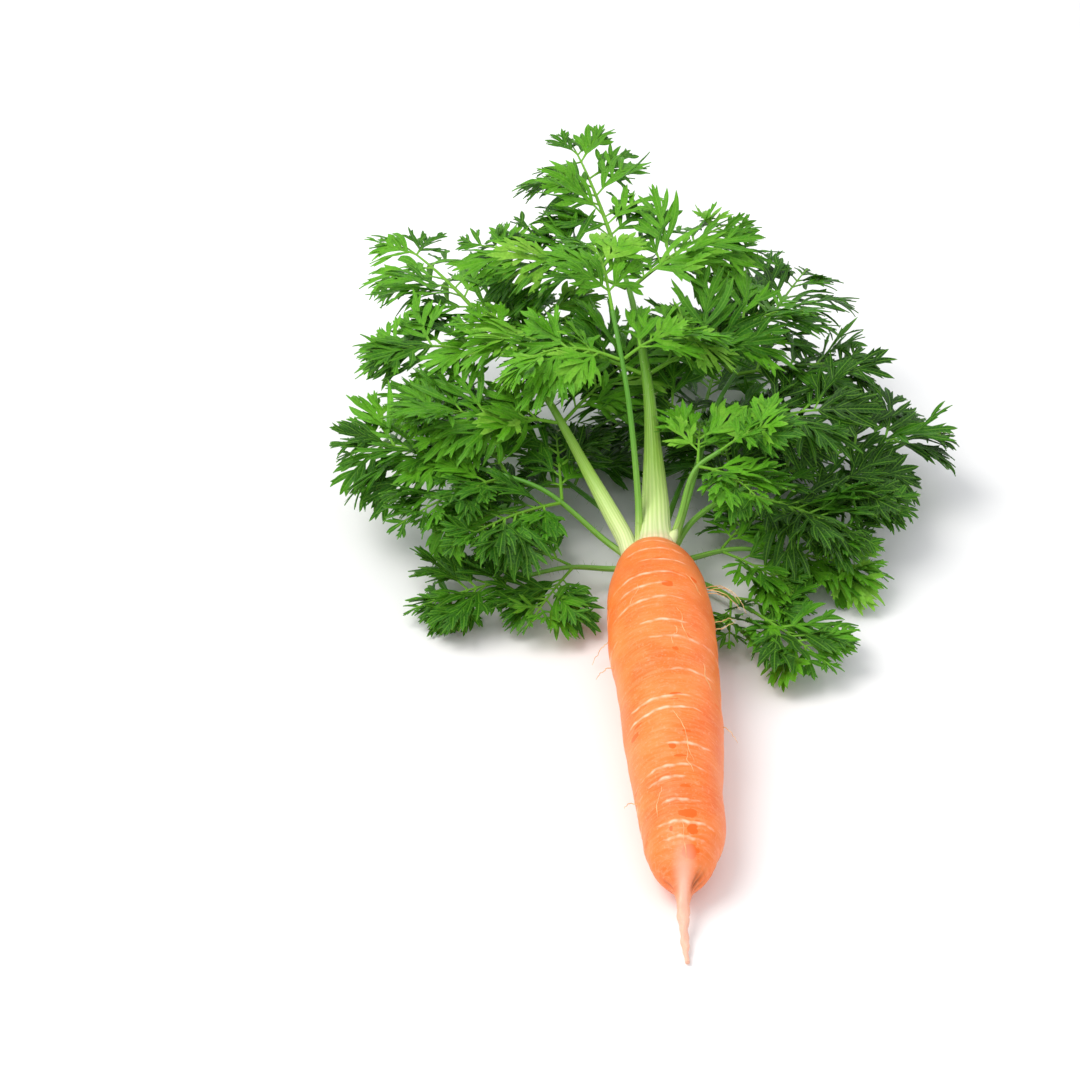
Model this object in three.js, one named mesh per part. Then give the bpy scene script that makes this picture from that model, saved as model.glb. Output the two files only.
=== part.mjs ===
// One fresh carrot with its green top, as it was picked, lying on its side: a taproot, and the twelve leaves
// that grow from its crown. A leaf is a stalk with pairs of side leaflets and one end leaflet.
// Millimetres, +Z up. The root points along -Y, and the leaves fan out over +Y. The origin is on the surface
// that the carrot lies on, under the middle of the whole carrot.

import * as THREE from "three";

const UP = new THREE.Vector3(0, 0, 1);
const { clamp, degToRad, lerp, smoothstep } = THREE.MathUtils;

// ---- Driving dimensions ----

// The taproot, measured along its axis from the crown, where the leaves are attached.
const BODY_LENGTH = 145; // crown to the blunt end
const SHOULDER_RADIUS = 17;
const SHOULDER_AT = 40;
const WAIST_RADIUS = 15;
const WAIST_AT = 84;
const END_RADIUS = 11.8; // before the blunt end rounds over
const END_ROUNDING = 19; // length of that rounding
const TAIL_LENGTH = 20; // the thin root below the blunt end
const NECK_RADIUS = 2.5; // where the tail leaves the body
const TAIL_TIP_RADIUS = 0.6;
const BODY_SWAY = 3; // the body's sideways lean over its length
const TAIL_SWAY = 1.6; // sideways bend of the tail
const ROOT_SIDES = 24;
const ROOT_RINGS = 44;

// The leaf stalks. They are round, and the two thick ones are pressed flatter, into a channel shape.
const MAIN_STALK_RADIUS = 4.1; // at the crown, as the next two
const SECOND_STALK_RADIUS = 2.8;
const SLENDER_STALK_RADIUS = 1.35;
const STALK_HALF_HEIGHT = 2.6;
const STALK_TIP_RADIUS = 0.75;
const STALK_TAPER = 1.6; // over 1, a stalk loses most of its width near the crown
const STALK_SIDES = 8;
const STALK_RINGS = 15;

// How the stalks stand on the crown.
const STALK_SPACING = 0.5; // between two neighbours
const FOOT_GAP = 0.3; // between the crown and a stalk's foot
const FOOT_LENGTH = 2.5; // a stalk leaves the crown straight for this far
const CROWN_RIM = 0.4; // crown outside the widest stalk
const MAIN_STALK_TURN = -8.5; // from the top of the crown, in degrees

// The leaflets: thin blades, lobed like a feather.
const BLADE_THICKNESS = 1.1;
const BLADE_SIDES = 4; // a blade's section is a flat diamond
const BLADE_SPREAD = 0.3; // greatest half-width as a share of the leaflet's length
const RIB_HALF_WIDTH = 1.1; // what the notches between two lobes leave
const STEM_LENGTH = 5; // bare stem before the first lobes
const LOBE_SWEEP = 0.75; // how far a lobe leans towards the tip, as a share of its reach
const LONG_LEAFLET = 50; // from this length on, a leaflet has five pairs of lobes, and under it four
const LEAFLET_GAP = 0.4; // between a stalk and a leaflet's foot

// ---- Materials ----

const material = {
  root: new THREE.MeshStandardMaterial({ color: "#f27c38", roughness: 0.5, metalness: 0 }),
  paleStalk: new THREE.MeshStandardMaterial({ color: "#c3dc8b", roughness: 0.45, metalness: 0 }),
  greenStalk: new THREE.MeshStandardMaterial({ color: "#5f9f33", roughness: 0.5, metalness: 0 }),
  blade: new THREE.MeshStandardMaterial({ color: "#3c8a22", roughness: 0.6, metalness: 0 }),
};

// ---- Shapes ----

/** The directions across and out of a curve that runs along a tangent: across is level, and out is its upper side. */
function sidesOf(along) {
  const across = new THREE.Vector3().crossVectors(along, UP).normalize();
  return { across, out: new THREE.Vector3().crossVectors(across, along) };
}

/**
 * A closed solid round a curve. Each point of the outline is a half-width and its distance along the curve. The
 * section is round, pressed flat to halfHeight, and turned by phase. Sweep leans the wide parts onwards.
 */
function roundCurve(outline, curve, sides, { halfHeight = Infinity, sweep = 0, phase = 0 } = {}) {
  const first = new THREE.Vector2(0, outline[0].y);
  const last = new THREE.Vector2(0, outline.at(-1).y);
  const geometry = new THREE.LatheGeometry([first, ...outline, last], sides, phase);
  const position = geometry.getAttribute("position");
  const length = curve.getLength();
  for (let i = 0; i < position.count; i++) {
    const side = position.getX(i);
    const lift = clamp(position.getZ(i), -halfHeight, halfHeight);
    const distance = position.getY(i) + sweep * Math.abs(side);
    const share = clamp(distance / length, 0, 1);
    const along = curve.getTangentAt(share);
    const { across, out } = sidesOf(along);
    const point = curve.getPointAt(share).addScaledVector(along, distance - share * length);
    point.addScaledVector(across, side).addScaledVector(out, lift);
    position.setXYZ(i, point.x, point.y, point.z);
  }
  geometry.computeVertexNormals();
  return geometry;
}

const carrot = new THREE.Group();

function add(name, geometry, finish) {
  const mesh = new THREE.Mesh(geometry, finish);
  mesh.name = name;
  carrot.add(mesh);
}

// ---- The crown ----

// The stalks stand in a ring, shoulder to shoulder, listed from the top towards the left as seen from the root's
// tip. Two slender ones stand inside the ring.
const ring = [
  { leaf: "main", radius: MAIN_STALK_RADIUS },
  { leaf: "tall", radius: SLENDER_STALK_RADIUS },
  { leaf: "second", radius: SECOND_STALK_RADIUS },
  { leaf: "left", radius: SLENDER_STALK_RADIUS },
  { leaf: "left_low", radius: SLENDER_STALK_RADIUS },
  { leaf: "right_front", radius: SLENDER_STALK_RADIUS },
  { leaf: "right_low", radius: SLENDER_STALK_RADIUS },
  { leaf: "right_far", radius: SLENDER_STALK_RADIUS },
  { leaf: "right_high", radius: SLENDER_STALK_RADIUS },
  { leaf: "right_near", radius: SLENDER_STALK_RADIUS },
];
const inner = [
  { leaf: "back", side: 1 },
  { leaf: "back_left", side: -1 },
];
const ringLength = ring.reduce((sum, { radius }) => sum + 2 * radius + STALK_SPACING, 0);
const chordAllowance = 1.02; // each stalk takes up a chord of the ring, which is shorter than its arc
const ringRadius = (chordAllowance * ringLength) / (2 * Math.PI);
const crownRadius = ringRadius + STALK_HALF_HEIGHT + CROWN_RIM;

// ---- The taproot ----

const endAt = BODY_LENGTH - END_ROUNDING;
const rootLength = BODY_LENGTH + TAIL_LENGTH;

/** The root's radius against the distance from the crown. */
const rootOutline = new THREE.SplineCurve([
  new THREE.Vector2(crownRadius, 0),
  new THREE.Vector2(0.79 * SHOULDER_RADIUS, 0.2 * SHOULDER_AT),
  new THREE.Vector2(0.94 * SHOULDER_RADIUS, 0.5 * SHOULDER_AT),
  new THREE.Vector2(SHOULDER_RADIUS, SHOULDER_AT),
  new THREE.Vector2(WAIST_RADIUS, WAIST_AT),
  new THREE.Vector2(END_RADIUS, endAt),
  new THREE.Vector2(0.8 * END_RADIUS, endAt + 0.5 * END_ROUNDING),
  new THREE.Vector2(0.45 * END_RADIUS, endAt + 0.85 * END_ROUNDING),
  new THREE.Vector2(NECK_RADIUS, BODY_LENGTH + 0.05 * TAIL_LENGTH),
  new THREE.Vector2(0.6 * NECK_RADIUS, BODY_LENGTH + 0.4 * TAIL_LENGTH),
  new THREE.Vector2(TAIL_TIP_RADIUS, rootLength),
]);

/** The root's axis. Its underside lies level on the surface, and the tail hangs from the blunt end. */
class RootAxis extends THREE.Curve {
  radiusAt(distance) {
    let low = 0;
    let high = 1;
    while (high - low > 1e-9) {
      const middle = (low + high) / 2;
      if (rootOutline.getPoint(middle).y < distance) low = middle;
      else high = middle;
    }
    return rootOutline.getPoint(low).x;
  }
  getPoint(share, target = new THREE.Vector3()) {
    const distance = share * rootLength;
    const touching = clamp(distance, 0.5 * SHOULDER_AT, endAt);
    const height = this.radiusAt(touching) * Math.cos(Math.PI / ROOT_SIDES);
    const toTip = clamp((distance - endAt) / (rootLength - endAt), 0, 1);
    const bodySway = BODY_SWAY * Math.min(distance / BODY_LENGTH, 1);
    const tailSway = TAIL_SWAY * Math.sin(0.75 * Math.PI * toTip);
    const drop = smoothstep(toTip, 0.2, 1);
    return target.set(bodySway - tailSway, -distance, lerp(height, 2 * TAIL_TIP_RADIUS, drop));
  }
  getPointAt(share, target) {
    return this.getPoint(share, target);
  }
  getTangentAt() {
    return new THREE.Vector3(0, -1, 0);
  }
  getLength() {
    return rootLength;
  }
}

const rootAxis = new RootAxis();
const rootRings = rootOutline.getPoints(ROOT_RINGS);
const facetDown = { phase: Math.PI / ROOT_SIDES };
add("taproot", roundCurve(rootRings, rootAxis, ROOT_SIDES, facetDown), material.root);

// ---- Where the stalks stand ----

const crown = rootAxis.getPoint(0);
const seats = {};
let walked = -(MAIN_STALK_RADIUS + STALK_SPACING / 2); // round the ring, from the main stalk's middle
for (const { leaf, radius } of ring) {
  walked += radius + STALK_SPACING / 2;
  const turn = degToRad(MAIN_STALK_TURN) + (2 * Math.PI * walked) / ringLength;
  const foot = new THREE.Vector3(-ringRadius * Math.sin(turn), FOOT_GAP, ringRadius * Math.cos(turn));
  seats[leaf] = { radius, foot: foot.add(crown) };
  walked += radius + STALK_SPACING / 2;
}
for (const { leaf, side } of inner) {
  const foot = new THREE.Vector3(side * (SLENDER_STALK_RADIUS + STALK_SPACING / 2), FOOT_GAP, -1);
  seats[leaf] = { radius: SLENDER_STALK_RADIUS, foot: foot.add(crown) };
}

// ---- The leaves ----

// route: points that the stalk passes through beyond its foot, the last one where the end leaflet starts.
// pairs: for each pair of side leaflets, its place as a share of the stalk, its length, and its angle to it.
// end: the end leaflet's length. droop: how far a leaflet's tip sinks, as a share of its length.
const leaves = {
  main: {
    route: [[1.5, 22, 26], [0, 55, 49], [-5, 88, 67], [-10, 112, 74]],
    pairs: [[0.55, 76, 60], [0.84, 70, 50]], end: 88, droop: 0.15,
  },
  tall: {
    route: [[-4.5, 14, 29], [-8, 35, 58], [-13, 54, 80]],
    pairs: [[0.8, 50, 60]], end: 60, droop: 0.5,
  },
  second: {
    route: [[-19, 27, 29], [-38, 62, 47], [-56, 94, 53]],
    pairs: [[0.52, 62, 60], [0.84, 58, 50]], end: 88, droop: 0.15,
  },
  right_high: {
    route: [[13, 24, 26], [24, 58, 40], [38, 90, 44]],
    pairs: [[0.55, 60, 60], [0.86, 54, 50]], end: 76, droop: 0.1,
  },
  right_near: {
    route: [[9, 8, 27], [14, 16, 41], [22, 18, 47]],
    pairs: [[0.8, 36, 60]], end: 38, droop: 0.35,
  },
  right_far: {
    route: [[14, 18, 19], [36, 34, 24], [60, 48, 25]],
    pairs: [[0.55, 54, 60], [0.84, 46, 50]], end: 62, droop: 0.18,
  },
  left: {
    route: [[-16, 12, 16], [-36, 22, 29], [-58, 30, 33]],
    pairs: [[0.55, 52, 60], [0.86, 46, 50]], end: 60, droop: 0.2,
  },
  right_low: {
    route: [[16, 9, 11], [29, 12, 12], [42, 10, 12]],
    pairs: [[0.6, 34, 50]], end: 40, droop: 0.15,
  },
  right_front: {
    route: [[9, 6.5, 5], [SHOULDER_RADIUS + 4, -2, 5.5], [SHOULDER_RADIUS + 15, -18, 8]],
    pairs: [[0.8, 26, 38]], end: 40, droop: 0.08,
  },
  back: {
    route: [[8, 35, 12], [18, 72, 12], [24, 102, 12]],
    pairs: [[0.68, 53, 50]], end: 72, droop: 0.08,
  },
  back_left: {
    route: [[-13, 32, 12], [-34, 62, 12], [-50, 82, 12]],
    pairs: [[0.6, 42, 50]], end: 64, droop: 0.08,
  },
  left_low: {
    route: [[-14, 6, 8], [-28, 4, 10], [-42, -1, 10]],
    pairs: [[0.65, 36, 50]], end: 42, droop: 0.1,
  },
};

/** A leaflet's outline: pairs of lobes that meet at the rib, the widest about a third of the way along. */
function lobes(length) {
  const count = length > LONG_LEAFLET ? 5 : 4;
  const lobeLength = (length - STEM_LENGTH) / (count + 1);
  const outline = [new THREE.Vector2(0.5 * RIB_HALF_WIDTH, 0), new THREE.Vector2(RIB_HALF_WIDTH, STEM_LENGTH)];
  for (let i = 0; i < count; i++) {
    const fullness = Math.sin(Math.PI * Math.pow((i + 0.6) / (count + 0.6), 0.65));
    const reach = Math.max(BLADE_SPREAD * length * fullness, 2 * RIB_HALF_WIDTH);
    const start = STEM_LENGTH + i * lobeLength;
    outline.push(new THREE.Vector2(reach, start + 0.4 * lobeLength));
    outline.push(new THREE.Vector2(RIB_HALF_WIDTH, start + lobeLength));
  }
  outline.push(new THREE.Vector2(0.3 * RIB_HALF_WIDTH, length));
  return outline;
}

/** A leaflet that starts at a point in a direction and sinks towards its tip. */
function leaflet(start, direction, length, droop) {
  const middle = start.clone().addScaledVector(direction, 0.5 * length);
  const tip = start.clone().addScaledVector(direction, length * (1 - 0.4 * droop));
  tip.z -= droop * length;
  const rib = new THREE.QuadraticBezierCurve3(start, middle, tip);
  const flat = { halfHeight: BLADE_THICKNESS / 2, sweep: LOBE_SWEEP };
  return roundCurve(lobes(rib.getLength()), rib, BLADE_SIDES, flat);
}

for (const [name, { route, pairs, end, droop }] of Object.entries(leaves)) {
  const { radius, foot } = seats[name];
  const straight = foot.clone().add(new THREE.Vector3(0, FOOT_LENGTH, 0));
  const beyond = route.map((point) => new THREE.Vector3(...point));
  const stalk = new THREE.CatmullRomCurve3([foot, straight, ...beyond]);
  const length = stalk.getLength();
  const radiusAt = (share) => lerp(STALK_TIP_RADIUS, radius, Math.pow(1 - share, STALK_TAPER));
  const outline = Array.from({ length: STALK_RINGS + 1 }, (_, i) => {
    const share = i / STALK_RINGS;
    return new THREE.Vector2(radiusAt(share), share * length);
  });
  const finish = radius > SLENDER_STALK_RADIUS ? material.paleStalk : material.greenStalk;
  add(`${name}_stalk`, roundCurve(outline, stalk, STALK_SIDES, { halfHeight: STALK_HALF_HEIGHT }), finish);

  pairs.forEach(([share, size, angle], pair) => {
    const along = stalk.getTangentAt(share);
    const { across, out } = sidesOf(along);
    for (const [side, word] of [[1, "right"], [-1, "left"]]) {
      const direction = along.clone().applyAxisAngle(out, -side * degToRad(angle));
      const clear = radiusAt(share) + LEAFLET_GAP + RIB_HALF_WIDTH / 2;
      const start = stalk.getPointAt(share).addScaledVector(across, side * clear);
      add(`${name}_leaflet_${word}_${pair + 1}`, leaflet(start, direction, size, droop), material.blade);
    }
  });
  const onward = stalk.getTangentAt(1);
  const start = stalk.getPointAt(1).addScaledVector(onward, LEAFLET_GAP);
  add(`${name}_leaflet_end`, leaflet(start, onward, end, droop), material.blade);
}

// ---- The origin ----

const box = new THREE.Box3().setFromObject(carrot);
const middle = box.getCenter(new THREE.Vector3());
carrot.position.set(-middle.x, -middle.y, -box.min.z);

export default carrot;
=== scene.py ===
import math

import bpy
import numpy as np
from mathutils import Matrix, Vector


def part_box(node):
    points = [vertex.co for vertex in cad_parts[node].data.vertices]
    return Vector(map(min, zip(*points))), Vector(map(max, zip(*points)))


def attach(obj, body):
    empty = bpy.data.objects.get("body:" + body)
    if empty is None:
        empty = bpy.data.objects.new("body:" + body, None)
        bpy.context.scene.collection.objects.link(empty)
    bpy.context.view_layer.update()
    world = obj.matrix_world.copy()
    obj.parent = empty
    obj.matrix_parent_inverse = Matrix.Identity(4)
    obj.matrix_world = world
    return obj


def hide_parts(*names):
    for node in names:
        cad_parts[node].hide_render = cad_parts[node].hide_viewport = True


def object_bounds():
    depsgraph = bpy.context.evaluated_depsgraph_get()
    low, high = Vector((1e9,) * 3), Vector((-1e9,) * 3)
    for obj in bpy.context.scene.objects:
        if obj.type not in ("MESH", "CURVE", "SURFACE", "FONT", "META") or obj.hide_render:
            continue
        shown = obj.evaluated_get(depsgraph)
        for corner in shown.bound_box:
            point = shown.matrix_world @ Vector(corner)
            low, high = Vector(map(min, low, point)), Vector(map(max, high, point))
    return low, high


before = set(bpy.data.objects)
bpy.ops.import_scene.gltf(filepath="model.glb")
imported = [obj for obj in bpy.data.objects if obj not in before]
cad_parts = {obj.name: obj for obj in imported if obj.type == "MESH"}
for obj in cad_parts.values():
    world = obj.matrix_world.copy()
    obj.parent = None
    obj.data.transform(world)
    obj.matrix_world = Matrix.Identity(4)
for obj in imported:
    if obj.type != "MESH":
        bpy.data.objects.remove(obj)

cad_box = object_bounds()

# ---------------------------------------------------------------------------------------- the studio
# White paper on a table, one large soft lamp high on the left, and a pale room that lights the rest. The
# camera stands beyond the root's tip and looks down along the root to the leaves.

MM = 0.001  # metres in a millimetre


def linear(shade):
    """An sRGB hex colour as the linear one that lamps and materials take."""
    parts = [int(shade[i : i + 2], 16) / 255 for i in (1, 3, 5)]
    return [c / 12.92 if c <= 0.04045 else ((c + 0.055) / 1.055) ** 2.4 for c in parts] + [1.0]


def put(tree, kind, inputs=None, stops=(), **settings):
    """Adds a node. An input is a value or the socket that feeds it, and stops are a ramp's places and
    colours."""
    made = tree.nodes.new(kind)
    for name, value in settings.items():
        setattr(made, name, value)
    for name, value in (inputs or {}).items():
        if isinstance(value, bpy.types.NodeSocket):
            tree.links.new(value, made.inputs[name])
        else:
            made.inputs[name].default_value = value
    for i, (place, shade) in enumerate(stops):
        stop = made.color_ramp.elements[i] if i < 2 else made.color_ramp.elements.new(place)
        stop.position, stop.color = place, linear(shade)
    return made


def new_finish(name):
    """A material with an empty node tree and its output."""
    material = bpy.data.materials.new(name)
    material.use_nodes = True
    material.node_tree.nodes.clear()
    output = material.node_tree.nodes.new("ShaderNodeOutputMaterial")
    return material, material.node_tree, output


scene = bpy.context.scene
root_low, root_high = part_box("taproot")
LEFT_OF_CROWN, ABOVE_PAPER = 38 * MM, 23.8 * MM  # from the crown to the point that the camera looks at
CAMERA_DISTANCE = 640 * MM
CAMERA_HEIGHT = math.radians(34.5)  # above the horizon
aim = Vector((root_low.x / 2 + root_high.x / 2 - LEFT_OF_CROWN, root_high.y, ABOVE_PAPER))

camera = bpy.data.objects.new("camera", bpy.data.cameras.new("camera"))
camera.data.sensor_width = 36
camera.data.lens = 65
back = Vector((0, -math.cos(CAMERA_HEIGHT), math.sin(CAMERA_HEIGHT)))
camera.location = aim + CAMERA_DISTANCE * back
camera.rotation_euler = (-back).to_track_quat("-Z", "Y").to_euler()
camera.data.clip_start = 0.01
camera.data.clip_end = 20
scene.collection.objects.link(camera)
scene.camera = camera
scene.view_settings.view_transform = "Standard"

room = bpy.data.worlds.new("pale_room")
room.use_nodes = True
room.node_tree.nodes["Background"].inputs["Color"].default_value = linear("#fbfcff")
room.node_tree.nodes["Background"].inputs["Strength"].default_value = 0.94
scene.world = room

lamp = bpy.data.objects.new("soft_lamp", bpy.data.lights.new("soft_lamp", "AREA"))
lamp.data.shape = "DISK"
lamp.data.size = 0.75
lamp.data.energy = 8.0
lamp.data.color = linear("#fffdf8")[:3]
lamp.location = aim + Vector((-0.55, -0.1, 0.95))
lamp.rotation_euler = (lamp.location - aim).to_track_quat("Z", "Y").to_euler()
scene.collection.objects.link(lamp)

# Uncoated white paper: matt, with a faint tooth.
paper, tree, output = new_finish("white_paper")
tooth = put(tree, "ShaderNodeTexNoise", {"Scale": 1 / (0.6 * MM), "Detail": 3.0})
bump = put(tree, "ShaderNodeBump", {"Height": tooth.outputs[0], "Strength": 0.1, "Distance": 0.05 * MM})
surface = put(tree, "ShaderNodeBsdfPrincipled", {"Roughness": 0.9, "Normal": bump.outputs[0]})
surface.inputs["Base Color"].default_value = linear("#f4f4f4")
tree.links.new(surface.outputs[0], output.inputs[0])

half = 3.0  # of the sheet's side, in metres
paper_corners = [(-half, -half, 0), (half, -half, 0), (half, half, 0), (-half, half, 0)]
sheet = bpy.data.meshes.new("paper_sheet")
sheet.from_pydata(paper_corners, [], [(0, 1, 2, 3)])
sheet.materials.append(paper)
floor = bpy.data.objects.new("paper_sheet", sheet)
scene.collection.objects.link(floor)

# ----------------------------------------------------------------------------------------- the taproot
# A carrot's taproot: crisp flesh under a thin orange skin. It grew in one piece, blunt at the end with a
# thin tail, and the skin carries pale scars across it, where side roots broke through and were rubbed off.

ROOT_SIDES = 24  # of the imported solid
SKIN_STEP = 0.36  # mm between two rings of corners
SKIN_SIDES = 186
CROWN_RISE = 1.1  # mm that the crown bulges between the stalks
TAIL_FROM, TAIL_FADE = 144, 9  # mm: where orange flesh begins to turn into the pale tail, and how slowly
FULLER_END = 1.3  # mm that the blunt end is fuller than packed, at its most
BLUNT_END, END_REACH = 140.6, 4.1  # mm: where that is, and how far it spreads
NECK, NECK_REACH = 144.4, 1.7  # mm: where the skin creases into the tail, and how far


def rings(name, sides, near):
    """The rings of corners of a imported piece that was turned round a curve, in mm, from the end nearest to
    a point. Each end closes in one corner, which has as many neighbours as a ring has sides."""
    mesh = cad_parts[name].data
    corners, same = np.unique(np.round([v.co for v in mesh.vertices], 6), axis=0, return_inverse=True)
    same = same.ravel()
    beside = [set() for _ in corners]
    for edge in mesh.edges:
        a, b = same[list(edge.vertices)]
        beside[a].add(b)
        beside[b].add(a)
    ends = [i for i, found in enumerate(beside) if len(found) == sides]
    reached = {min(ends, key=lambda i: np.linalg.norm(corners[i] / MM - near))}
    seen = set(reached)
    ordered = []
    while reached:
        reached = set().union(*(beside[i] for i in reached)) - seen
        seen |= reached
        if len(reached) == sides:
            ordered.append(corners[sorted(reached)] / MM)
    return ordered


def through(stations, values, at):
    """A smooth curve through values given at rising stations, read at other places."""
    slopes = np.gradient(values, stations, axis=0)
    at = np.clip(at, stations[0], stations[-1])
    i = np.clip(np.searchsorted(stations, at) - 1, 0, len(stations) - 2)
    wide = np.shape(at) + (1,) * (np.ndim(values) - 1)
    gap = (stations[i + 1] - stations[i]).reshape(wide)
    t = np.reshape(at - stations[i], wide) / gap
    ahead = t * t * (3 - 2 * t)
    bent = slopes[i] * (1 - t) - slopes[i + 1] * t
    return values[i] * (1 - ahead) + values[i + 1] * ahead + bent * gap * t * (1 - t)


def sleeve(loops):
    """A closed skin over loops of corners, with the two ends filled: its corners, its faces, facing
    outwards, and where each face's corners lie on the skin slit open and laid flat, in mm."""
    count, sides = loops.shape[:2]
    corners = np.concatenate([loops.reshape(-1, 3), loops[:1].mean(1), loops[-1:].mean(1)])
    grid = np.arange(count * sides).reshape(count, sides)
    turned = np.roll(grid, -1, axis=1)
    walls = np.stack([grid[:-1], grid[1:], turned[1:], turned[:-1]], -1).reshape(-1, 4)
    first = np.stack([0 * grid[0] + count * sides, grid[0], turned[0]], -1)
    last = np.stack([0 * grid[0] + count * sides + 1, turned[-1], grid[-1]], -1)
    row, side = np.indices((count - 1, sides)).reshape(2, -1)
    j = np.arange(sides)
    before, after = 0 * j - 1, 0 * j + count
    flat = [
        np.stack([[row, side], [row + 1, side], [row + 1, side + 1], [row, side + 1]]).transpose(2, 0, 1),
        np.stack([[before, j + 0.5], [before + 1, j], [before + 1, j + 1]]).transpose(2, 0, 1),
        np.stack([[after, j + 0.5], [after - 1, j + 1], [after - 1, j]]).transpose(2, 0, 1),
    ]
    faces = walls.tolist() + first.tolist() + last.tolist()
    a, b, c = (corners[[f[k] for f in faces]] - corners[0] for k in (0, 1, 2))
    d = corners[[f[-1] for f in faces]] - corners[0]
    if (np.cross(a, b) * c).sum() + (np.cross(a, c) * d).sum() <= 0:
        faces = [face[::-1] for face in faces]
        flat = [part[:, ::-1] for part in flat]
    length = np.linalg.norm(np.diff(loops.mean(1), axis=0), axis=1).sum()
    girth = np.linalg.norm(loops - np.roll(loops, 1, axis=1), axis=2).sum(1).max()
    flat = np.concatenate([part.reshape(-1, 2) for part in flat])
    return corners, faces, (flat + (1, 0)) / (count + 1, sides) * (length, girth)


def side_by_side(flats, gap=0.4):
    """Flat skins set out in rows on one square map, the widest first, with a gap between them in mm."""
    sizes = np.array([flat.max(0) for flat in flats])
    row_length = max(sizes[:, 0].max(), 1.1 * math.sqrt((sizes + gap).prod(1).sum()))
    places = np.zeros(sizes.shape)
    along, up, widest = 0, 0, 0
    for i in np.argsort(-sizes[:, 1], kind="stable"):
        if along + sizes[i, 0] > row_length:
            along, up, widest = 0, up + widest + gap, 0
        places[i] = along, up
        along += sizes[i, 0] + gap
        widest = max(widest, sizes[i, 1])
    laid = np.concatenate([flat + place for flat, place in zip(flats, places)])
    margin = 0.002  # of the map's side
    return margin + (1 - 2 * margin) * laid / laid.max(0)


def grown(name, sleeves, finish, marks=None, stands_for=None, crease=180):
    """One piece out of closed sleeves, in mm. Marks are numbers at each corner, which the finish reads.
    Edges that fold by more than crease degrees stay sharp."""
    corners, faces, start = [], [], 0
    for points, walls, _ in sleeves:
        corners.append(points)
        faces += [[i + start for i in face] for face in walls]
        start += len(points)
    mesh = bpy.data.meshes.new(name)
    mesh.from_pydata((np.concatenate(corners) * MM).tolist(), [], faces)
    mesh.polygons.foreach_set("use_smooth", [True] * len(faces))
    if crease < 180:
        mesh.set_sharp_from_angle(angle=math.radians(crease))
    spread = side_by_side([flat for _, _, flat in sleeves])
    mesh.uv_layers.new(name="OFBake").uv.foreach_set("vector", spread.astype(np.float32).ravel())
    for mark, values in (marks or {}).items():
        written = mesh.attributes.new(mark, "FLOAT", "POINT")
        written.data.foreach_set("value", np.asarray(values, np.float32))
    mesh.materials.append(finish)
    piece = bpy.data.objects.new(name, mesh)
    scene.collection.objects.link(piece)
    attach(piece, "root")
    if stands_for:
        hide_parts(stands_for)


middle_of_root = (root_low + root_high) / (2 * MM)
root_rings = rings("taproot", ROOT_SIDES, (middle_of_root.x, root_high.y / MM, middle_of_root.z))
root_centres = np.array([ring.mean(0) for ring in root_rings])
crown = root_centres[0]
root_stations = crown[1] - root_centres[:, 1]
flat_radius = math.cos(math.pi / ROOT_SIDES)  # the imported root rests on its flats
root_radii = np.array([np.linalg.norm(ring - ring.mean(0), axis=1).mean() for ring in root_rings])
root_radii = root_radii * flat_radius
root_length = root_stations[-1]


def root_radius(along):
    """The root's radius at a distance from the crown, in mm. The blunt end is fuller than packed."""
    fuller = FULLER_END * np.exp(-(((along - BLUNT_END) / END_REACH) ** 2))
    return through(root_stations, root_radii, along) + fuller


# Slow swellings all over, each a wave along the root and one round it: length in mm, waves round, height
# in mm.
luck = np.random.default_rng(11)
swellings = [(62, 1, 0.3), (41, 2, 0.22), (29, 3, 0.16), (23, 1, 0.14), (17, 2, 0.09), (11, 3, 0.06)]
swellings = [(*wave, *luck.uniform(0, 2 * math.pi, 2)) for wave in swellings]

# Scars: rows across the skin, each with three arcs round it, the deepest on top.
scar_rows = [7, 14, 22, 32, 38, 45, 55, 62, 76, 87, 92, 105, 114, 118, 125.5, 132.5, 137]
scars = []
for row in scar_rows:
    for arc in range(3):
        middle = arc * 2.1 + luck.uniform(-0.45, 0.45)
        place = row + luck.uniform(-1.2, 1.2) * (arc > 0)
        depth = luck.uniform(0.35, 1) if arc else luck.uniform(0.6, 1)
        scars.append((place, middle, luck.uniform(0.5, 1.05), depth))

# Creases that run into the tail, by their angle from the top.
creases = [(math.radians(turn), luck.uniform(0.4, 0.8)) for turn in (-84, 52, 70, 96, 140, 185, 230)]

# Where the skin was rubbed through: distance from the crown, angle from the top, and half the patch's
# length in mm and width in degrees.
rubbed_patches = [
    (130, 6, 1.7, 15), (134.8, 14, 1.6, 10), (140.2, 14, 1.6, 20), (110.5, 0, 0.5, 9),
    (106.5, -9, 1.4, 5), (121, 3, 0.6, 8), (68, 6, 0.9, 4), (94, -50, 0.5, 8), (86, 2, 0.5, 9),
    (101, 10, 0.5, 6), (134, -22, 1.0, 3), (97, -58, 1.0, 10), (31, 38, 1.2, 5), (38, 5, 1.6, 7),
    (60, 150, 2.0, 8), (85, 200, 1.2, 12), (112, -130, 1.0, 9)]


def turned_from(around, middle):
    """The angle between two directions round the root, from -pi to pi."""
    return (around - middle + math.pi) % (2 * math.pi) - math.pi


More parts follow.
